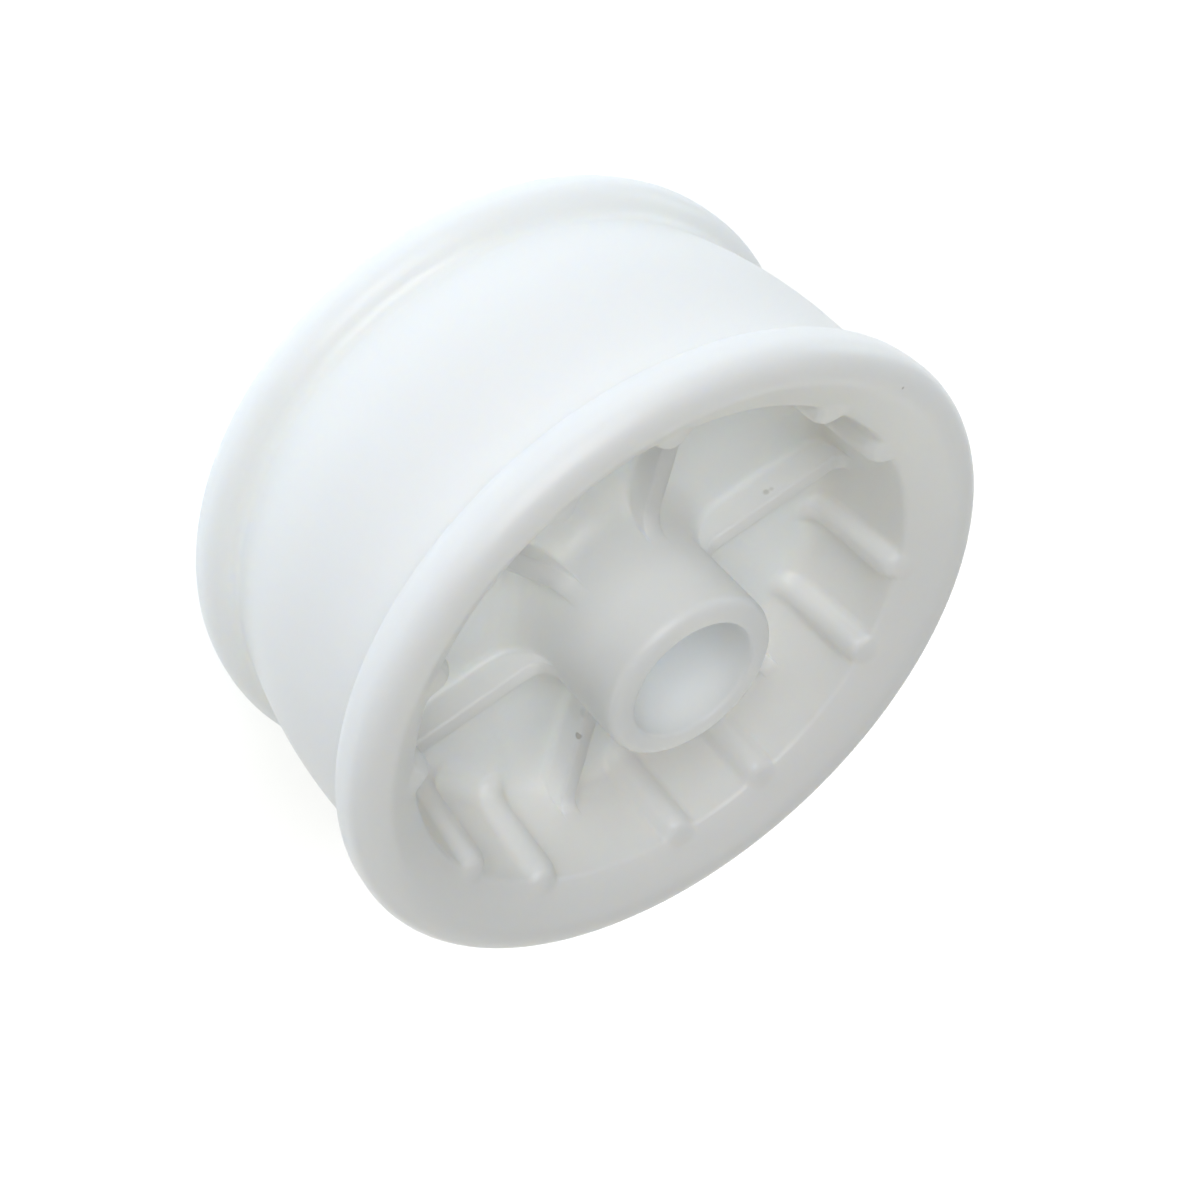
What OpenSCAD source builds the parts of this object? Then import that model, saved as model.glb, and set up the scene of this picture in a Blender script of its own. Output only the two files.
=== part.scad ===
// Idler pulley of a clothes dryer: one moulding of white plastic.
// A crowned belt drum stands between two lips, whose inner sides slope down into
// the pulley. Half way along, a flat web carries a long hub with a plain bore.
// Thin radial ribs stand on both faces of the web, and half-round ribs run along
// the inner wall in pairs, one pair between two radial ribs.
// Sizes are in millimetres. +Z runs along the spin axis, from the back lip to
// the front lip, and the origin is on that axis, half way along the pulley.

/* [Rim] */
// Diameter over the lips
lip_d = 63.5; // [62.5:0.5:80]
// Width of the pulley from the crest of one lip to the crest of the other
pulley_w = 32; // [28:0.5:50]
// Radius of the rounds on the outer edge of a lip
bead_r = 2.1; // [1.4:0.1:2.6]
// Width of the flat band between those two rounds
lip_flat = 0.8; // [0.2:0.1:2]
// Diameter of the belt drum at the top of its crown
drum_d = 61.2; // [57:0.1:61.6]
// How much lower the crown is beside a lip than half way along
crown_drop = 1.2; // [0.4:0.1:1.6]
// Radius of the fillet between the drum and a lip
lip_fillet = 1.2; // [0.5:0.1:1.6]
// Slope of the inner side of a lip, in degrees
lip_slope = 39; // [30:1:42]
// Diameter of the corner where that slope meets the inner wall
mouth_d = 50.4; // [46:0.2:51]
// Radius of the round on that corner
mouth_round = 0.8; // [0.3:0.1:2]
// Draft of the inner wall, in degrees
wall_draft = 2.5; // [0.5:0.5:3]

/* [Hub] */
// Diameter of the bore for the shaft
bore_d = 12; // [8:0.1:13]
// Diameter of the hub at its ends
hub_d = 16.8; // [16.4:0.1:20]
// Length of the hub from one end face to the other
hub_len = 31; // [26:0.1:46]
// Draft of the hub's outside, in degrees
hub_draft = 0.8; // [0.2:0.2:2]
// Radius of the round on the hub's outer edge
hub_round = 1.1; // [0.3:0.1:1.1]
// Radius of the round at the mouth of the bore
bore_round = 0.4; // [0.2:0.1:0.5]
// Radius of the fillet where the hub meets the web
hub_fillet = 4; // [1:0.5:5]

/* [Web] */
// Thickness of the web
web_t = 3.6; // [2:0.1:5]
// Radius of the fillet where the web meets the inner wall
wall_fillet = 2.3; // [0.5:0.1:3]
// Number of radial ribs on each face of the web
spoke_n = 6; // [3:1:8]
// Direction in which the first radial rib points, in degrees
spoke_turn = 14.6; // [0:0.2:60]
// Height of the radial ribs above the web
spoke_h = 3.1; // [1.5:0.1:5]
// Thickness of a radial rib at its top
spoke_t = 1.8; // [1:0.1:3]
// Draft of the sides of a radial rib, in degrees
spoke_draft = 2; // [0.5:0.5:5]
// Radius of the rounds on the top edges of a radial rib
spoke_round = 0.3; // [0.1:0.05:0.4]
// Radius of the fillet at the foot of a radial rib
spoke_fillet = 0.8; // [0.3:0.1:1.4]
// Radius of the hollow in which the top of a radial rib rises to the hub
hub_rise = 2; // [1:0.5:4]
// Radius of the hollow in which it rises to the inner wall
wall_rise = 1.5; // [0.5:0.1:2.5]

/* [Wall ribs] */
// Radius of the half-round ribs along the inner wall
rib_r = 1.6; // [0.8:0.05:1.8]
// Angle between the two ribs of a pair, in degrees
rib_pair = 23; // [12:1:26]
// How far below the corner of the wall the round end of a rib begins
rib_stop = 1.2; // [0:0.1:3]

/* [Hidden] */

$fn = 96;
// How far a piece reaches into the solid that it joins
sink = 0.5;
// How far the centre of a radial rib's fillet or hollow stands off the surface it
// joins, as a share of its radius: under 1, so that it meets it at a slight angle
stand_off = 0.95;
// How far a hollow at the end of a radial rib reaches into the hub or the wall, and
// how much narrower than the rib it is on each side
bite = 0.15;
ease = 0.05;
floor_z = web_t / 2;
lip_r = lip_d / 2;
bead_c = lip_r - bead_r;
top_bead = [bead_c, pulley_w / 2 - bead_r];
low_bead = top_bead - [0, lip_flat];
crown_span = low_bead[1] - bead_r;
crown_r = (pow(crown_span, 2) + pow(crown_drop, 2)) / (2 * crown_drop);
crown = [drum_d / 2 - crown_r, 0];
crest = top_bead + bead_r * [-sin(lip_slope), cos(lip_slope)];
mouth = [mouth_d / 2, crest[1] - (crest[0] - mouth_d / 2) * tan(lip_slope)];
hub_touch = [hub_d / 2 - hub_round * (1 - cos(hub_draft)),
             hub_len / 2 - hub_round * (1 - sin(hub_draft))];
spoke_top = floor_z + spoke_h;
pitch = 360 / spoke_n;

// Radius of the inner wall at height z above the pulley's middle
function wall_at(z) = mouth[0] - (mouth[1] - z) * tan(wall_draft);

// Radius of the hub's outside at height z
function hub_at(z) = hub_touch[0] + (hub_touch[1] - z) * tan(hub_draft);

// Half the thickness of a radial rib at height z
function spoke_at(z) = spoke_t / 2 + (spoke_top - z) * tan(spoke_draft);

// Where two circles cross, on the left of the way from centre a to centre b
function crossing(a, ra, b, rb) =
    let (d = norm(b - a), u = (b - a) / d, along = (ra * ra - rb * rb + d * d) / (2 * d),
         aside = sqrt(ra * ra - along * along))
    a + along * u + aside * [-u[1], u[0]];

// The point at distance r from c, on the way from c to p
function toward(c, p, r) = c + r * (p - c) / norm(p - c);

// What lies between a corner and the circle of radius r about c, which touches
// the corner's two sides at p and q; the points in back close the outline
module corner(c, r, p, q, back) {
    difference() {
        polygon(concat([p, c, q], back));
        translate(c) circle(r = r);
    }
}

// Section of one lip: two rounds, the slope into the pulley, and the fillet
// from the lip's outer edge down to the drum
module lip_section() {
    c = crossing(low_bead, bead_r + lip_fillet, crown, crown_r + lip_fillet);
    foot = toward(crown, c, crown_r);
    translate(top_bead) circle(r = bead_r);
    translate(low_bead) circle(r = bead_r);
    polygon([mouth, crest, top_bead, [lip_r, top_bead[1]], [lip_r, low_bead[1]], low_bead,
             foot - [sink, 0], [mouth[0] + sink, foot[1]], wall_point(foot[1])]);
    corner(c, lip_fillet, toward(low_bead, c, bead_r), foot,
           [foot - [2 * sink, 0], low_bead - [bead_r / 2, 0]]);
}

// The point of the inner wall at height z
function wall_point(z) = [wall_at(z), z];

// Round on the corner between the inner wall and the slope of a lip, taken away
module mouth_cut() {
    half = (90 + wall_draft + lip_slope) / 2;
    run = mouth_round / tan(half);
    turn = lip_slope - half;
    corner(mouth + mouth_round / sin(half) * [cos(turn), sin(turn)], mouth_round,
           mouth - run * [sin(wall_draft), cos(wall_draft)],
           mouth + run * [cos(lip_slope), sin(lip_slope)],
           [mouth - sink * [cos(turn), sin(turn)]]);
}

// Section of the rim: the crowned drum between the two lips
module rim_section() {
    difference() {
        union() {
            for (side = [0, 1]) mirror([0, side]) lip_section();
            intersection() {
                translate(crown) circle(r = crown_r, $fn = 360);
                polygon([mouth, [mouth[0] + sink, mouth[1]], low_bead, [lip_r, low_bead[1]],
                         [lip_r, -low_bead[1]], [low_bead[0], -low_bead[1]],
                         [mouth[0] + sink, -mouth[1]], [mouth[0], -mouth[1]],
                         wall_point(0)]);
            }
        }
        for (side = [0, 1]) mirror([0, side]) mouth_cut();
    }
}

// Section of one half of the hub, with a round edge and a round bore mouth
module half_hub_section() {
    end = hub_len / 2;
    bore = bore_d / 2;
    edge = [hub_d / 2 - hub_round, end - hub_round];
    lead = [bore + bore_round, end - bore_round];
    difference() {
        union() {
            polygon([[0, 0], [hub_at(0), 0], hub_touch, edge, [edge[0], end], [0, end]]);
            translate(edge) circle(r = hub_round);
        }
        difference() {
            translate([0, lead[1]]) square([lead[0], 2 * bore_round]);
            translate(lead) circle(r = bore_round);
        }
    }
}

// Section of one half of the web, with its fillets to the hub and to the wall
module half_web_section() {
    h = floor_z + hub_fillet;
    w = floor_z + wall_fillet;
    hc = [hub_at(h) + hub_fillet / cos(hub_draft), h];
    wc = [wall_at(w) - wall_fillet / cos(wall_draft), w];
    translate([bore_d / 4, 0]) square([mouth[0] + sink - bore_d / 4, floor_z]);
    corner(hc, hub_fillet, hc - hub_fillet * [cos(hub_draft), sin(hub_draft)],
           [hc[0], floor_z], [[hub_at(floor_z) - sink, floor_z - sink]]);
    corner(wc, wall_fillet, wc + wall_fillet * [cos(wall_draft), -sin(wall_draft)],
           [wc[0], floor_z], [[mouth[0] + sink, floor_z - sink]]);
}

// Section across one radial rib, from the web's middle to the rib's top
module spoke_section() {
    low = floor_z + stand_off * spoke_fillet;
    high = spoke_top - spoke_round;
    fc = [spoke_at(low) + spoke_fillet / cos(spoke_draft), low];
    tc = [spoke_at(high) - spoke_round / cos(spoke_draft), high];
    lean = [cos(spoke_draft), sin(spoke_draft)];
    difference() {
        polygon([[-spoke_at(0), 0], [spoke_at(0), 0],
                 [spoke_t / 2, spoke_top], [-spoke_t / 2, spoke_top]]);
        for (side = [0, 1]) mirror([side, 0])
            corner(tc, spoke_round, tc + spoke_round * lean, [tc[0], spoke_top],
                   [[spoke_t / 2 + sink, spoke_top + sink]]);
    }
    for (side = [0, 1]) mirror([side, 0])
        corner(fc, spoke_fillet, fc - spoke_fillet * lean, [fc[0], floor_z],
               [[0, floor_z - sink]]);
}

// One radial rib, from inside the hub to inside the rim
module spoke() {
    start = (bore_d + hub_d) / 4;
    translate([start, 0, 0]) rotate([90, 0, 90])
        linear_extrude(mouth[0] + sink - start) spoke_section();
    rise(hub_at(spoke_top), hub_rise, 1);
    rise(wall_at(spoke_top), wall_rise, -1);
}

// The end of a radial rib, whose top rises in a hollow of radius r to the hub or the
// wall at radius foot; way is 1 where the rib leads outwards from there, or else -1
module rise(foot, r, way) {
    c = [foot + way * (r - bite), spoke_top + stand_off * r];
    in = foot - way * sink;
    high = spoke_top + r;
    intersection() {
        rotate([90, 0, 0]) linear_extrude(spoke_t + spoke_h, center = true)
            corner(c, r, [in, high], [c[0], spoke_top - sink], [[in, spoke_top - sink]]);
        rotate([90, 0, 90]) linear_extrude(mouth[0] + sink)
            polygon([[ease - spoke_at(0), 0], [spoke_at(0) - ease, 0],
                     [spoke_at(high) - ease, high], [ease - spoke_at(high), high]]);
    }
}

// One half-round rib with a round end, from the web to the slope of the lip
module rib() {
    end = mouth[1] - rib_stop;
    translate([mouth[0], 0, 0]) {
        cylinder(r = rib_r, h = end, $fn = 48);
        translate([0, 0, end]) sphere(r = rib_r, $fn = 48);
    }
}

module pulley() {
    color([0.94, 0.95, 0.94])
    difference() {
        union() {
            rotate_extrude() {
                rim_section();
                for (side = [0, 1]) mirror([0, side]) {
                    half_hub_section();
                    half_web_section();
                }
            }
            for (k = [0 : spoke_n - 1], side = [0, 1])
                rotate(spoke_turn + k * pitch) mirror([0, 0, side]) {
                    spoke();
                    for (s = [-0.5, 0.5]) rotate(pitch / 2 + s * rib_pair) rib();
                }
        }
        translate([0, 0, -pulley_w]) cylinder(d = bore_d, h = 2 * pulley_w);
    }
}

pulley();
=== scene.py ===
# %% [markdown]
# # The idler pulley of a clothes dryer
# The drive belt of a clothes dryer is kept tight by a small idler pulley: one
# moulding of white plastic that turns on a plain shaft. A crowned drum carries
# the belt, two lips keep it from running off, and a web half way along joins the
# drum to a long hub. Thin radial ribs on the web and half-round ribs on the inner
# wall keep the moulding stiff with little plastic.
#
# This lesson builds its visible surface as one closed grid of four-sided faces,
# gives it a procedural plastic, and sets up plain studio light and a camera.

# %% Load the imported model
import math

import bpy
import numpy as np
from mathutils import Matrix, Vector


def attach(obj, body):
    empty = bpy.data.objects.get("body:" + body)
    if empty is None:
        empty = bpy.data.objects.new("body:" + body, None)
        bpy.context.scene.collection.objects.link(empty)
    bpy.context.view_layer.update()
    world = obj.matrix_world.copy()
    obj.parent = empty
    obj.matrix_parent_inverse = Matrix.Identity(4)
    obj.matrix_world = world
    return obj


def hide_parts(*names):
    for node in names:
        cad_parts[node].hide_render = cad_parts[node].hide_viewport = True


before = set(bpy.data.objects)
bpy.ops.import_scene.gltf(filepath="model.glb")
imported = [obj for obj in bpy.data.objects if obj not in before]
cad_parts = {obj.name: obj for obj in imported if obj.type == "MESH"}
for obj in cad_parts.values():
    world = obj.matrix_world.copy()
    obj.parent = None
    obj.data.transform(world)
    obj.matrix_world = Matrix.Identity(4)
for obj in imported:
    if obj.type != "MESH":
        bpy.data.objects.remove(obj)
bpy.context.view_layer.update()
MM = 0.001
print("packed solids:", sorted(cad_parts))

# %% [markdown]
# ## The sizes of the moulding
# The sizes are those of the solid model, in millimetres, so that the surface lies
# where the solid does. The spin axis is Z, the origin is half way along it, and
# the back half of the pulley mirrors the front half.

# %% Sizes in millimetres, angles in degrees
LIP_R, HALF_WIDTH = 31.75, 16.0
BEAD_R, LIP_FLAT, LIP_FILLET, LIP_SLOPE = 2.1, 0.8, 1.2, 39.0
DRUM_R, CROWN_DROP = 30.6, 1.2
MOUTH_R, MOUTH_ROUND, WALL_DRAFT = 25.2, 0.8, 2.5
BORE_R, HUB_R, HALF_HUB, HUB_DRAFT = 6.0, 8.4, 15.5, 0.8
HUB_ROUND, BORE_ROUND, HUB_FILLET = 1.1, 0.4, 4.0
FLOOR_Z, WALL_FILLET = 1.8, 2.3
SPOKES, SPOKE_TURN, SPOKE_H, SPOKE_T, SPOKE_DRAFT = 6, 14.6, 3.1, 1.8, 2.0
SPOKE_ROUND, SPOKE_FILLET, HUB_RISE, WALL_RISE = 0.3, 0.8, 2.0, 1.5
RIB_R, RIB_PAIR, RIB_STOP, RIB_BLEND = 1.6, 23.0, 1.2, 0.8
HALF_PITCH = 180.0 / SPOKES

# %% [markdown]
# ## Arcs and lines
# The section of the pulley is made of arcs and straight lines, as a turner would
# draw it. An arc is a centre, a radius and two angles; every later outline is a
# few of these laid end to end.

# %% Helpers for outlines
def arc(centre, radius, start, end, count):
    """Points of a circle: the centre plus the radius times the cosine and the
    sine of each angle from start to end, in degrees."""
    turn = np.radians(np.linspace(start, end, count))
    return np.stack([centre[0] + radius * np.cos(turn), centre[1] + radius * np.sin(turn)], 1)


def between(p, q, count):
    """Points at even steps strictly between p and q: p plus a share of q minus p."""
    share = np.linspace(0, 1, count + 2)[1:-1, None]
    return np.asarray(p) + share * (np.asarray(q) - np.asarray(p))


def heading(vector):
    """The angle of a flat vector from the first axis, in degrees."""
    return math.degrees(math.atan2(vector[1], vector[0]))


def tan(angle):
    """The tangent of an angle in degrees."""
    return math.tan(math.radians(angle))


# %% [markdown]
# ## The drum and the front lip, in section
# From the middle of the drum the outline climbs the crown, turns up a small
# fillet, runs round the outer edge of the lip in two rounds with a short flat
# between them, and comes down the sloping inner side to the corner of the wall.
# The belt centres itself on the crown, and the slope lets the mould open.

# %% Outline from the middle of the drum to the inner wall
CROWN_STEPS, FILLET_STEPS, LOW_STEPS, TOP_STEPS = 9, 6, 8, 13     # points on each arc
SLOPE_STEPS, MOUTH_STEPS = 9, 6
top_bead = np.array([LIP_R - BEAD_R, HALF_WIDTH - BEAD_R])
low_bead = top_bead - [0, LIP_FLAT]
crown_span = low_bead[1] - BEAD_R
crown_r = (crown_span ** 2 + CROWN_DROP ** 2) / (2 * CROWN_DROP)
crown = np.array([DRUM_R - crown_r, 0.0])


def crossing(a, ra, b, rb):
    """Where two circles cross: from a, a step along the line of centres, then a
    step to its left, both found from the two radii."""
    d = np.linalg.norm(b - a)
    u = (b - a) / d
    along = (ra * ra - rb * rb + d * d) / (2 * d)
    aside = math.sqrt(ra * ra - along * along)
    return a + along * u + aside * np.array([-u[1], u[0]])


fillet_c = crossing(low_bead, BEAD_R + LIP_FILLET, crown, crown_r + LIP_FILLET)
crown_turn = heading(fillet_c - crown)
bead_turn = heading(low_bead - fillet_c)

slope = math.radians(LIP_SLOPE)
crest = top_bead + BEAD_R * np.array([-math.sin(slope), math.cos(slope)])
mouth = np.array([MOUTH_R, crest[1] - (crest[0] - MOUTH_R) * tan(LIP_SLOPE)])
half_corner = math.radians((90 + WALL_DRAFT + LIP_SLOPE) / 2)
into_corner = slope - half_corner
mouth_c = mouth + MOUTH_ROUND / math.sin(half_corner) * np.array(
    [math.cos(into_corner), math.sin(into_corner)])
mouth_arc = arc(mouth_c, MOUTH_ROUND, 90 + LIP_SLOPE, 180 - WALL_DRAFT, MOUTH_STEPS)

outside = np.concatenate([
    arc(crown, crown_r, 0, crown_turn, CROWN_STEPS),
    arc(fillet_c, LIP_FILLET, crown_turn + 180, bead_turn, FILLET_STEPS)[1:],
    arc(low_bead, BEAD_R, bead_turn - 180, 0, LOW_STEPS)[1:],
    arc(top_bead, BEAD_R, 0, 90 + LIP_SLOPE, TOP_STEPS),
])
inside = np.concatenate([between(outside[-1], mouth_arc[0], SLOPE_STEPS), mouth_arc])
inside_turn = np.concatenate([
    np.full(SLOPE_STEPS, 90 + LIP_SLOPE),
    np.linspace(90 + LIP_SLOPE, 180 - WALL_DRAFT, MOUTH_STEPS)])
print("outline of drum and lip:", len(outside), "points, slope and corner:", len(inside))

# %% [markdown]
# ## The end of the hub, in section
# The hub stands half a millimetre below the crest of the lip. Its outer edge has
# a round, its end face is flat, and the mouth of the bore is eased so that a shaft
# goes in without scraping.

# %% Outline from the hub's outer edge to the middle of the bore
EDGE_STEPS, LEAD_STEPS, BORE_STEPS = 7, 5, 3     # points on each arc and down the bore
edge_c = (HUB_R - HUB_ROUND, HALF_HUB - HUB_ROUND)
lead_c = (BORE_R + BORE_ROUND, HALF_HUB - BORE_ROUND)
hub_end = np.concatenate([
    arc(edge_c, HUB_ROUND, HUB_DRAFT, 90, EDGE_STEPS),
    arc(lead_c, BORE_ROUND, 90, 180, LEAD_STEPS),
    between((BORE_R, lead_c[1]), (BORE_R, 0), BORE_STEPS),
    [[BORE_R, 0.0]],
])


def wall_at(z):
    """Radius of the inner wall at height z: the corner's radius less the depth
    below the corner times the tangent of the draft."""
    return MOUTH_R - (mouth[1] - z) * tan(WALL_DRAFT)


def hub_at(z):
    """Radius of the hub at height z, growing by the draft towards the web."""
    return hub_end[0, 0] + (hub_end[0, 1] - z) * tan(HUB_DRAFT)


print("hub at the web: %.2f mm, wall at the web: %.2f mm" % (hub_at(FLOOR_Z), wall_at(FLOOR_Z)))

# %% [markdown]
# ## Where the grid's columns run
# Each column of the grid crosses the web from the wall to the hub. If the columns
# were plain radii, the straight sides of a radial rib would come out as steps.
# So the columns next to a rib run parallel to it, each at its own distance from
# the rib's middle and its own height, and the rest fan out to fill the panel.
# More columns are spent where a half-round rib stands on the wall.

# %% Columns of half a panel, from the middle of a radial rib to half a pitch
TOP_COLUMNS, ROUND_COLUMNS, SIDE_COLUMNS, FOOT_COLUMNS, PANEL_COLUMNS = 1, 4, 2, 5, 6


def spoke_half(z):
    """Half the rib's thickness at height z: half the top thickness plus the depth
    below the top times the tangent of the draft."""
    return SPOKE_T / 2 + (FLOOR_Z + SPOKE_H - z) * tan(SPOKE_DRAFT)


spoke_top = FLOOR_Z + SPOKE_H
slant = math.cos(math.radians(SPOKE_DRAFT))
round_c = (spoke_half(spoke_top - SPOKE_ROUND) - SPOKE_ROUND / slant, spoke_top - SPOKE_ROUND)
foot_c = (spoke_half(FLOOR_Z + SPOKE_FILLET) + SPOKE_FILLET / slant, FLOOR_Z + SPOKE_FILLET)
round_arc = arc(round_c, SPOKE_ROUND, 90, SPOKE_DRAFT, ROUND_COLUMNS)
foot_arc = arc(foot_c, SPOKE_FILLET, 180 + SPOKE_DRAFT, 270, FOOT_COLUMNS)
spoke = np.concatenate([
    [[0, spoke_top]], between([0, spoke_top], round_arc[0], TOP_COLUMNS), round_arc,
    between(round_arc[-1], foot_arc[0], SIDE_COLUMNS), foot_arc])

rib_turn = HALF_PITCH - RIB_PAIR / 2
# distances from the rib's middle in mm, closest together where its side is steep
rib_steps = np.array([0, 0.45, 0.85, 1.15, 1.38, 1.54, 1.68, 1.84, 2.05, 2.35])
rib_reach = np.degrees(np.arcsin(rib_steps / MOUTH_R))
rib_columns = np.concatenate([rib_turn - rib_reach[::-1], rib_turn + rib_reach[1:]])
floor_ref = wall_at(FLOOR_Z + WALL_FILLET)
spoke_edge = math.degrees(math.asin(spoke[-1, 0] / floor_ref))
free = np.concatenate([
    np.linspace(spoke_edge, rib_columns[0], PANEL_COLUMNS)[1:-1], rib_columns,
    np.linspace(rib_columns[-1], HALF_PITCH, PANEL_COLUMNS)[1:]])
share = (free - spoke_edge) / (HALF_PITCH - spoke_edge)
height = np.concatenate([spoke[:, 1], np.full(len(free), FLOOR_Z)])
columns = len(height)


def column_turn(radius):
    """Angle of each column at the given radii, one per column along the last axis.
    Beside a rib it is the arcsine of the column's distance over the radius; in the
    open panel it is a fixed share of the way from the rib's foot to half a pitch."""
    radius = np.asarray(radius, float) * np.ones(columns)
    beside = np.degrees(np.arcsin(spoke[:, 0] / radius[..., :len(spoke)]))
    foot = np.degrees(np.arcsin(spoke[-1, 0] / radius[..., len(spoke):]))
    return np.concatenate([beside, foot + share * (HALF_PITCH - foot)], -1)


wall_turn = column_turn(floor_ref)
print("columns in half a panel:", columns)

# %% [markdown]
# ## Half-round ribs that grow out of the wall
# A rib on the wall is a capsule, a half-round bar with a ball end. Where it meets
# the wall a real moulding has a small fillet, which a plain union doesn't give. So
# wall and capsule are both written as distances, the two are blended, and a ray
# walks outwards from the open space until the blended distance is nought. This
# is sphere tracing, done for the whole grid at once.

# %% Radius of the inner surface where the ribs stand on it
WALK_STEPS = 60
WALK_FROM = MOUTH_R - 3 * RIB_R     # a radius in the open, inside every rib


def soft_min(a, b, k):
    """The smaller of a and b, less a quarter of k times the square of how near the
    two are to each other, which rounds the crease between them."""
    near = np.maximum(k - np.abs(a - b), 0) / k
    return np.minimum(a, b) - near ** 2 * k / 4


def ribbed(wall, tilt, z, turn):
    """Radius at which a ray along the radius meets the wall or a rib. wall is the
    plain radius there, tilt the share of the wall's normal that points to the
    axis, and turn the angle of the column."""
    rib_top = mouth[1] - RIB_STOP
    off = np.radians(turn - rib_turn)
    wall, tilt, z, off = np.broadcast_arrays(wall, tilt, z, off)
    r = np.full(wall.shape, WALK_FROM)
    for _ in range(WALK_STEPS):
        bar = np.sqrt((r * np.cos(off) - MOUTH_R) ** 2 + (r * np.sin(off)) ** 2
                      + np.maximum(z - rib_top, 0) ** 2) - RIB_R
        r = r + soft_min((wall - r) * tilt, bar, RIB_BLEND)
    return r


# %% [markdown]
# ## The front half of the surface
# Rows run from the middle of the drum over the lip, down the wall, across the web
# and up the hub into the bore. Most rows have one radius and height all round.
# The rows of the web take each column's own height, and end in fillets whose
# radius shrinks where a radial rib already fills the corner.

# %% Radius, height and angle of each grid point
def row_block(points, turn):
    """Rows that are the same all round: each point's radius and height repeated
    for all columns, with the columns' angles as given."""
    r = np.repeat(points[:, :1], columns, 1)
    z = np.repeat(points[:, 1:], columns, 1)
    return r, z, np.broadcast_to(turn, r.shape)


raised = (height - FLOOR_Z) / SPOKE_H
wall_f = WALL_FILLET + raised * (WALL_RISE - WALL_FILLET)
hub_f = HUB_FILLET + raised * (HUB_RISE - HUB_FILLET)

lip_r, lip_z, lip_turn = row_block(inside, wall_turn)
facing = -np.cos(np.radians(inside_turn))[:, None]
lip_r = ribbed(lip_r, facing, lip_z, lip_turn)

WALL_ROWS, FLOOR_ROWS, HUB_ROWS, CORNER_ROWS = 15, 7, 8, 6
down = np.linspace(0, 1, WALL_ROWS + 2)[1:, None]
wall_z = inside[-1, 1] + down * (height + wall_f - inside[-1, 1])
wall_r = ribbed(wall_at(wall_z), math.cos(math.radians(WALL_DRAFT)), wall_z, wall_turn)

bend = np.radians(np.linspace(0, 90, CORNER_ROWS))[1:, None]
foot_r = wall_r[-1] - wall_f * (1 - np.cos(bend))
foot_z = height + wall_f * (1 - np.sin(bend))
hub_foot = hub_at(height + hub_f)
across = np.linspace(0, 1, FLOOR_ROWS + 2)[1:-1, None]
floor_r = foot_r[-1] + across * (hub_foot + hub_f - foot_r[-1])
floor_z = np.broadcast_to(height, floor_r.shape)
rise = np.radians(np.linspace(0, 90, CORNER_ROWS))[:, None]
rise_r = hub_foot + hub_f * (1 - np.sin(rise))
rise_z = height + hub_f * (1 - np.cos(rise))
web_r = np.concatenate([foot_r, floor_r, rise_r])
web_z = np.concatenate([foot_z, floor_z, rise_z])
web_turn = column_turn(web_r)

up = np.linspace(0, 1, HUB_ROWS + 2)[1:-1, None]
hub_z = rise_z[-1] + up * (hub_end[0, 1] - rise_z[-1])
hub_turn = web_turn[-1]

blocks = [row_block(outside, wall_turn), (lip_r, lip_z, lip_turn),
          (wall_r, wall_z, np.broadcast_to(wall_turn, wall_r.shape)),
          (web_r, web_z, web_turn),
          (hub_at(hub_z), hub_z, np.broadcast_to(hub_turn, hub_z.shape)),
          row_block(hub_end, hub_turn)]
radius, level, turn = (np.concatenate([b[i] for b in blocks]) for i in range(3))
print("rows in the front half:", len(radius))

# %% [markdown]
# ## Closing the ring
# Half a panel is mirrored about its rib and turned six times, and the front half is
# mirrored to make the back. The rows then close on themselves through the bore,
# so the surface is a ring without poles or seams: every point has four neighbours.

# %% Grid of the whole pulley
def all_round(values, flip):
    """Half a panel mirrored (with the sign given by flip) and repeated for each
    radial rib; the columns on the two mirror lines appear once."""
    panel = np.concatenate([flip * values[:, :0:-1], values[:, :-1]], 1)
    return np.tile(panel, (1, SPOKES))


per_panel = 2 * (columns - 1)
start = np.repeat(SPOKE_TURN + 2 * HALF_PITCH * np.arange(SPOKES), per_panel)
ring_r, ring_z = all_round(radius, 1), all_round(level, 1)
ring_turn = np.radians(all_round(turn, -1) + start)
ring_r = np.concatenate([ring_r, ring_r[-2:0:-1]])
ring_z = np.concatenate([ring_z, -ring_z[-2:0:-1]])
ring_turn = np.concatenate([ring_turn, ring_turn[-2:0:-1]])
points = np.stack([ring_r * np.cos(ring_turn), ring_r * np.sin(ring_turn), ring_z], -1) * MM


def closed_quads(rows, cols):
    """Four-sided faces of a grid that closes both ways: each point with the next
    one along its row, the one after that a row on, and the one below it."""
    index = np.arange(rows * cols).reshape(rows, cols)
    right = np.roll(index, -1, 1)
    return np.stack([index, right, np.roll(right, -1, 0), np.roll(index, -1, 0)], -1).reshape(-1, 4)


quads = closed_quads(*ring_r.shape)
flat = points.reshape(-1, 3)


def enclosed(verts, faces):
    """Signed volume: a sixth of the sum of each triangle's triple product."""
    a, b, c, d = (verts[faces[:, i]] for i in range(4))
    return (np.einsum("ij,ij->", a, np.cross(b, c)) + np.einsum("ij,ij->", a, np.cross(c, d))) / 6


if enclosed(flat, quads) < 0:
    quads = quads[:, ::-1].copy()
print("faces: %d, volume: %.2f cm3" % (len(quads), enclosed(flat, quads) * 1e6))

# %% [markdown]
# ## From arrays to a mesh
# The arrays go into the mesh in one step each. Shading normals are weighted by
# face area, so that a flat face stays flat next to the small faces of a round.

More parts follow.
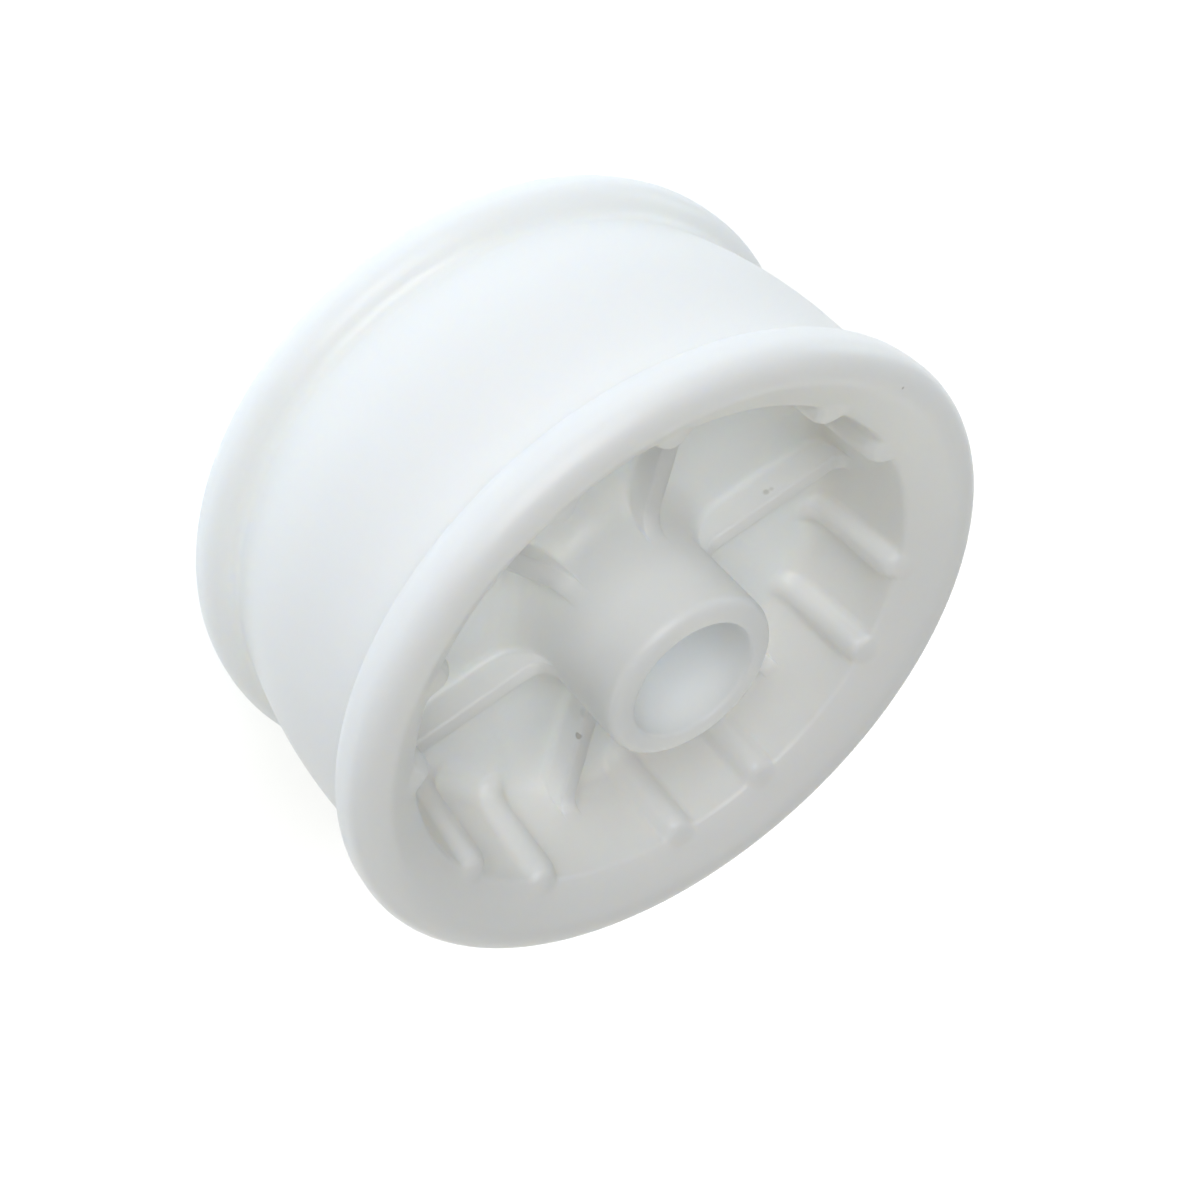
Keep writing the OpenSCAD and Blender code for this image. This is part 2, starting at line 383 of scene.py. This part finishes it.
# %% Make the moulding
def area_normals(verts, faces):
    """Normal of each point: the sum of the cross products of the diagonals of the
    faces round it, which are as long as twice the area of each face."""
    a, b, c, d = (verts[faces[:, i]] for i in range(4))
    cross = np.cross(c - a, d - b)
    total = np.zeros_like(verts)
    for i in range(4):
        np.add.at(total, faces[:, i], cross)
    return total / np.linalg.norm(total, axis=1, keepdims=True)


def make_mesh(name, verts, faces, material, normals=None):
    """A mesh object from an array of points and an array of four-sided faces."""
    mesh = bpy.data.meshes.new(name)
    mesh.vertices.add(len(verts))
    mesh.vertices.foreach_set("co", verts.astype(np.float32).ravel())
    mesh.loops.add(faces.size)
    mesh.loops.foreach_set("vertex_index", faces.astype(np.int32).ravel())
    mesh.polygons.add(len(faces))
    mesh.polygons.foreach_set("loop_start", np.arange(0, faces.size, 4, dtype=np.int32))
    mesh.polygons.foreach_set("use_smooth", np.ones(len(faces), bool))
    mesh.update(calc_edges=True)
    mesh.validate()
    if normals is not None:
        mesh.normals_split_custom_set_from_vertices(normals)
    mesh.materials.append(material)
    obj = bpy.data.objects.new(name, mesh)
    bpy.context.scene.collection.objects.link(obj)
    return obj


# %% [markdown]
# ## White moulded plastic
# Such plastic is white because light goes a few millimetres in and comes out again
# nearby, so edges glow and shadows are soft: that is subsurface scattering. The
# mould leaves a fine grain that breaks up the sheen. Two small groups make what
# varies: the skin's grain and cloudiness, and round spots that darken it, used for
# specks of dirt and for painted shade.

# %% Helpers to build node trees
def add_node(tree, kind, inputs=(), **settings):
    """A node of a kind, with settings on the node and values or links on inputs."""
    node = tree.nodes.new(kind)
    for key, value in settings.items():
        setattr(node, key, value)
    for key, value in dict(inputs).items():
        if isinstance(value, bpy.types.NodeSocket):
            tree.links.new(value, node.inputs[key])
        else:
            node.inputs[key].default_value = value
    return node


def new_group(name, inputs, outputs):
    """An empty shader node group with named float, vector or colour sockets."""
    group = bpy.data.node_groups.new(name, "ShaderNodeTree")
    for way, sockets in (("INPUT", inputs), ("OUTPUT", outputs)):
        for socket, kind in sockets:
            group.interface.new_socket(name=socket, in_out=way, socket_type="NodeSocket" + kind)
    ends = group.nodes.new("NodeGroupInput"), group.nodes.new("NodeGroupOutput")
    return group, ends[0].outputs, ends[1].inputs


# %% The grain and cloudiness of the skin
DETAIL = {"Grain": (3.0, 0.55), "Cloud": (2.0, 0.5)}     # octaves, strength of each next one
skin, given, put = new_group(
    "moulded_skin", [("Place", "Vector"), ("Grain per mm", "Float"), ("Cloud per mm", "Float")],
    [("Cloud", "Float"), ("Grain", "Float")])
for which, (octaves, falloff) in DETAIL.items():
    noise = add_node(skin, "ShaderNodeTexNoise", {
        "Vector": given["Place"], "Scale": given[which + " per mm"],
        "Detail": octaves, "Roughness": falloff})
    skin.links.new(noise.outputs["Fac"], put[which])

# %% A round mark at a place on the skin
def combine(tree, operation, a, b):
    """The sum, product or larger of two numbers: ADD, MULTIPLY or MAXIMUM."""
    return add_node(tree, "ShaderNodeMath", {0: a, 1: b}, operation=operation).outputs[0]


def measure(tree, operation, a, b=(0, 0, 0)):
    """A number from vectors: DISTANCE or DOT_PRODUCT of a and b, or LENGTH of a."""
    node = add_node(tree, "ShaderNodeVectorMath", {0: a, 1: b}, operation=operation)
    return node.outputs["Value"]


def ramp(tree, value, start, end, first, last, kind="SMOOTHSTEP"):
    """First plus a share of last minus first. The share is the value less start over
    end less start, held between 0 and 1, and eased at both ends unless LINEAR."""
    sockets = {"Value": value, "From Min": start, "From Max": end, "To Min": first, "To Max": last}
    return add_node(tree, "ShaderNodeMapRange", sockets, interpolation_type=kind).outputs["Result"]


mark, given, put = new_group(
    "round_mark",
    [("Place", "Vector"), ("Centre", "Vector"), ("Radius", "Float"), ("Soft", "Float")],
    [("Mask", "Float")])
apart = measure(mark, "DISTANCE", given["Place"], given["Centre"])
outer = combine(mark, "ADD", given["Radius"], given["Soft"])
mark.links.new(ramp(mark, apart, given["Radius"], outer, 1.0, 0.0), put["Mask"])
print("node groups:", [g.name for g in bpy.data.node_groups])

# %% [markdown]
# ## The plastic itself
# The colour moves by a hair between two whites, as the melt is never quite even.
# Marks sit where the photograph shows them. A dark speck on the side of one radial
# rib and a dot on the lip are dirt. On the side of another radial rib, the hollow of a
# long pit is painted shade. A faint painted shadow lies beside the speck, near the
# top edge of its rib. Each mark is a round spot that darkens the colour; two spots
# make each long one.

# %% Material of the moulding
# specks of dirt, and spots of painted shade for a pit's hollow and beside a speck
SPECKS_AND_PAINTED_SHADE = [  # centre in mm, radius in mm, softness in mm, darkness
    # a dark speck of dirt on the side of a radial rib
    ((-4.95, -14.62, 4.68), 0.25, 0.22, 0.55),
    # painted shade: the dark hollow of a long pit, in two spots
    ((16.06, 5.15, 3.92), 0.12, 0.34, 0.34),
    ((16.60, 5.32, 3.98), 0.05, 0.32, 0.24),
    # a dot of dirt on the lip
    ((18.28, 23.32, 16.0), 0.06, 0.12, 0.45),
    # painted shadow beside the speck, near its rib's top edge, in two spots
    ((-4.30, -11.90, 4.55), 0.22, 0.55, 0.16),
    ((-4.60, -12.50, 3.50), 0.45, 1.00, 0.07),
]
WHITES = (0.945, 0.95, 0.93, 1), (0.96, 0.963, 0.945, 1)
# the dark that both the specks of dirt and the painted shade mix towards
DIRT_AND_SHADE = (0.20, 0.18, 0.15, 1)
GRAIN_PER_MM, CLOUD_PER_MM = 2.2, 0.09
ROUGHNESS = 0.30, 0.38
GRAIN_STRENGTH, GRAIN_MM = 0.12, 0.02
SCATTER, SCATTER_MM = (1.0, 0.92, 0.8), 4.0     # red goes furthest inside, blue least far
REFRACTION = 1.49
MIX_SOCKETS = {"RGBA": (6, 7, 2), "FLOAT": (2, 3, 0)}     # two inputs and the output


def mix(tree, share, a, b, kind="RGBA"):
    """A colour or a number between a and b: a plus the share of b minus a."""
    low, high, out = MIX_SOCKETS[kind]
    node = add_node(tree, "ShaderNodeMix", {0: share, low: a, high: b}, data_type=kind)
    return node.outputs[out]


plastic = bpy.data.materials.new("white_plastic")
plastic.use_nodes = True
tree = plastic.node_tree
shader = tree.nodes["Principled BSDF"].inputs
place = add_node(tree, "ShaderNodeTexCoord").outputs["Object"]
in_mm = add_node(tree, "ShaderNodeMapping", {"Vector": place, "Scale": (1 / MM,) * 3}).outputs[0]
skin_here = add_node(tree, "ShaderNodeGroup", {
    "Place": in_mm, "Grain per mm": GRAIN_PER_MM, "Cloud per mm": CLOUD_PER_MM},
    node_tree=skin).outputs
colour = mix(tree, skin_here["Cloud"], *WHITES)
# each spot darkens the colour: dirt at the specks, painted shade at the pit and beside the speck
for centre, size, soft, dark in SPECKS_AND_PAINTED_SHADE:
    spot = add_node(tree, "ShaderNodeGroup", {
        "Place": in_mm, "Centre": centre, "Radius": size, "Soft": soft}, node_tree=mark)
    weight = combine(tree, "MULTIPLY", spot.outputs["Mask"], dark)
    colour = mix(tree, weight, colour, DIRT_AND_SHADE)
grain = add_node(tree, "ShaderNodeBump", {
    "Height": skin_here["Grain"], "Strength": GRAIN_STRENGTH, "Distance": GRAIN_MM * MM})
tree.links.new(colour, shader["Base Color"])
tree.links.new(ramp(tree, skin_here["Cloud"], 0, 1, *ROUGHNESS, "LINEAR"), shader["Roughness"])
tree.links.new(grain.outputs["Normal"], shader["Normal"])
shader["Subsurface Weight"].default_value = 1.0
shader["Subsurface Radius"].default_value = SCATTER
shader["Subsurface Scale"].default_value = SCATTER_MM * MM
shader["IOR"].default_value = REFRACTION

moulding = make_mesh("pulley_moulding", flat, quads, plastic, area_normals(flat, quads))
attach(moulding, "root")
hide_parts("pulley")
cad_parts["pulley"].data.materials.clear()
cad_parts["pulley"].data.materials.append(plastic)
print("moulding:", len(moulding.data.vertices), "points")

# %% [markdown]
# ## Floor
# The pulley stands on its back lip on a pale floor. The floor is a disc of rings,
# worked out in polar form. When looked at it is white paper: it shines as well as
# it is lit, so it is white except where the pulley's shadow takes light away.
# It also gives light, as the diffuser of a light table does: softly on the side of
# the pulley that the camera sees, and more strongly inside the back lip, so that
# the translucent web and the bore glow a little with it.

# %% Pale floor under the back lip
FLOOR_REACH, FLOOR_RINGS, FLOOR_SPOKES = 2500.0, 10, 48
PAPER, PAPER_ROUGHNESS = (0.80, 0.80, 0.79, 1), 0.9
WHITE, COOL = (1, 1, 1, 1), (0.72, 0.85, 1, 1)
TO_CAMERA = (-0.30, 0.95, 0.0)     # the side of the pulley that the camera sees
# each fade: from and to in mm, and the strength at either end
SHOWN = 30, 90, 0.45, 1.0          # by distance from the pulley's middle, as it is seen
TABLE = 26, 450, 0.68, 0.0         # by the same distance, as it lights the pulley
HOLLOW = 24, 28, 1.7, 0.0          # inside the back lip
FRONT = -40, 40, 0.0, 1.0          # by distance towards the camera's side


def disc(reach, rings, spokes, z):
    """Points at ring radius times the cosine and sine of each spoke's angle, the
    radii growing by the square of the ring's number, and four-sided faces."""
    r = reach * (np.arange(1, rings + 1) / rings) ** 2
    a = np.linspace(0, 2 * np.pi, spokes, endpoint=False)
    x, y = np.outer(r, np.cos(a)), np.outer(r, np.sin(a))
    grid = np.stack([x, y, np.full((rings, spokes), z)], -1)
    index = np.arange(rings * spokes).reshape(rings, spokes)
    right = np.roll(index, -1, 1)
    faces = np.stack([index[:-1], index[1:], right[1:], right[:-1]], -1).reshape(-1, 4)
    hub = index[0]
    cap = np.array([[hub[0], hub[i], hub[i + 1], hub[i + 2]] for i in range(1, spokes - 2, 2)])
    return grid.reshape(-1, 3), np.concatenate([faces, cap])


def looked_at(tree):
    """1 for a ray from the camera, off something glossy or through something clear,
    and 0 for any other: the largest of the three flags."""
    rays = add_node(tree, "ShaderNodeLightPath").outputs
    either = combine(tree, "MAXIMUM", rays["Is Camera Ray"], rays["Is Glossy Ray"])
    return combine(tree, "MAXIMUM", either, rays["Is Transmission Ray"])


def fade(tree, distance, limits, kind="SMOOTHSTEP"):
    """A ramp over a distance, from its two limits in mm and the strengths there."""
    start, end, first, last = limits
    return ramp(tree, distance, start * MM, end * MM, first, last, kind)


paper = bpy.data.materials.new("pale_floor")
paper.use_nodes = True
tree = paper.node_tree
base = tree.nodes["Principled BSDF"]
base.inputs["Base Color"].default_value = PAPER
base.inputs["Roughness"].default_value = PAPER_ROUGHNESS
where = add_node(tree, "ShaderNodeTexCoord").outputs["Object"]
apart = measure(tree, "LENGTH", where)
front = fade(tree, measure(tree, "DOT_PRODUCT", where, TO_CAMERA), FRONT)
table = combine(tree, "MULTIPLY", fade(tree, apart, TABLE), front)
sent = combine(tree, "MAXIMUM", table, fade(tree, apart, HOLLOW, "LINEAR"))
seen = looked_at(tree)
shine = add_node(tree, "ShaderNodeEmission", {
    "Color": mix(tree, seen, COOL, WHITE),
    "Strength": mix(tree, seen, sent, fade(tree, apart, SHOWN, "LINEAR"), "FLOAT")})
both = add_node(tree, "ShaderNodeAddShader", {
    0: base.outputs["BSDF"], 1: shine.outputs["Emission"]})
tree.links.new(both.outputs[0], tree.nodes["Material Output"].inputs["Surface"])
floor_points, floor_faces = disc(FLOOR_REACH, FLOOR_RINGS, FLOOR_SPOKES, -HALF_WIDTH)
floor = make_mesh("floor", floor_points * MM, floor_faces, paper)
print("floor:", len(floor_faces), "faces")

# %% [markdown]
# ## The camera
# The photograph was taken close up: the near lip looks much larger than the far
# one. The camera below was fitted to the outlines of both lips, the drum, the hub
# and the bore. It is given as a turn about two axes, a distance and a shift, in
# units of the lip's radius.

# %% Camera at the photograph's viewing angle
FOCAL_PIXELS, PICTURE = 1469.76, 1200     # focal length and picture width, in pixels
SENSOR = 36.0                       # width of the sensor in mm
NEAREST, FURTHEST = 0.001, 10.0     # from where to where the camera sees, in metres
TURN_X, TURN_Y, DISTANCE, SIDE, RISE = 0.7803, 0.5818, 4.189, -0.0161, 0.0704
camera_data = bpy.data.cameras.new("camera")
camera = bpy.data.objects.new("camera", camera_data)
bpy.context.scene.collection.objects.link(camera)
camera_data.sensor_width = SENSOR
camera_data.lens = SENSOR * FOCAL_PIXELS / PICTURE
camera_data.clip_start, camera_data.clip_end = NEAREST, FURTHEST
to_world = (Matrix.Rotation(TURN_X, 3, "X") @ Matrix.Rotation(TURN_Y, 3, "Y")).transposed()
stand = to_world @ Vector((-SIDE, -RISE, DISTANCE)) * (LIP_R * MM)
place = to_world.to_4x4()
place.translation = stand
camera.matrix_world = place
bpy.context.scene.camera = camera
print("camera stands %.0f mm away" % (stand.length / MM))

# %% [markdown]
# ## Lamps and surround
# A broad lamp near the camera gives the form, a small cool one fills the right
# side, and the surround is dark but for a soft glow opposite the camera, which
# grazes the web and shines through the thin plastic. White plastic then shows its
# form through soft shading, and nothing burns out. When looked at, by the camera,
# off something glossy or through something clear, the surround is plain white, so
# that the pulley stands before white as it does in the photograph.

# %% Square lamps and a one-sided glow
LAMP_DISTANCE = 420     # mm
LAMPS = [  # name, compass angle, height in degrees, side in mm, watts, colour
    ("top_lamp", 108, 36, 300, 1.0, (0.98, 0.995, 1.0)),
    ("right_lamp", 20, 8, 160, 0.18, (0.80, 0.95, 1.0)),
]
GLOW_TOWARDS, GLOW_EDGE = (0, -1, 0), 0.3     # its middle, and the cosine at its edge
DIM, GLOW = (0.02, 0.02, 0.02, 1), (1.45, 1.47, 1.38, 1)


def lamp(name, compass, height, size, power, tint):
    """A square lamp that faces the pulley. Its direction is the cosine of its height
    times the cosine and sine of its compass angle, and the sine of its height."""
    compass, height = math.radians(compass), math.radians(height)
    towards = Vector((math.cos(height) * math.cos(compass),
                      math.cos(height) * math.sin(compass), math.sin(height)))
    data = bpy.data.lights.new(name, "AREA")
    data.size, data.energy, data.color = size * MM, power, tint
    obj = bpy.data.objects.new(name, data)
    bpy.context.scene.collection.objects.link(obj)
    obj.location = towards * LAMP_DISTANCE * MM
    obj.rotation_euler = towards.to_track_quat("Z", "Y").to_euler()


for settings in LAMPS:
    lamp(*settings)

world = bpy.data.worlds.new("surround")
bpy.context.scene.world = world
world.use_nodes = True
tree = world.node_tree
view = add_node(tree, "ShaderNodeTexCoord").outputs["Generated"]
cosine = measure(tree, "DOT_PRODUCT", view, GLOW_TOWARDS)
surround = mix(tree, ramp(tree, cosine, GLOW_EDGE, 1.0, 0.0, 1.0), DIM, GLOW)
backdrop = mix(tree, looked_at(tree), surround, WHITE)
tree.links.new(backdrop, tree.nodes["Background"].inputs["Color"])
bpy.context.scene.view_settings.view_transform = "Standard"

# %% [markdown]
# ## Finish
# The view layer is brought up to date once more.

# %% Finish
bpy.context.view_layer.update()
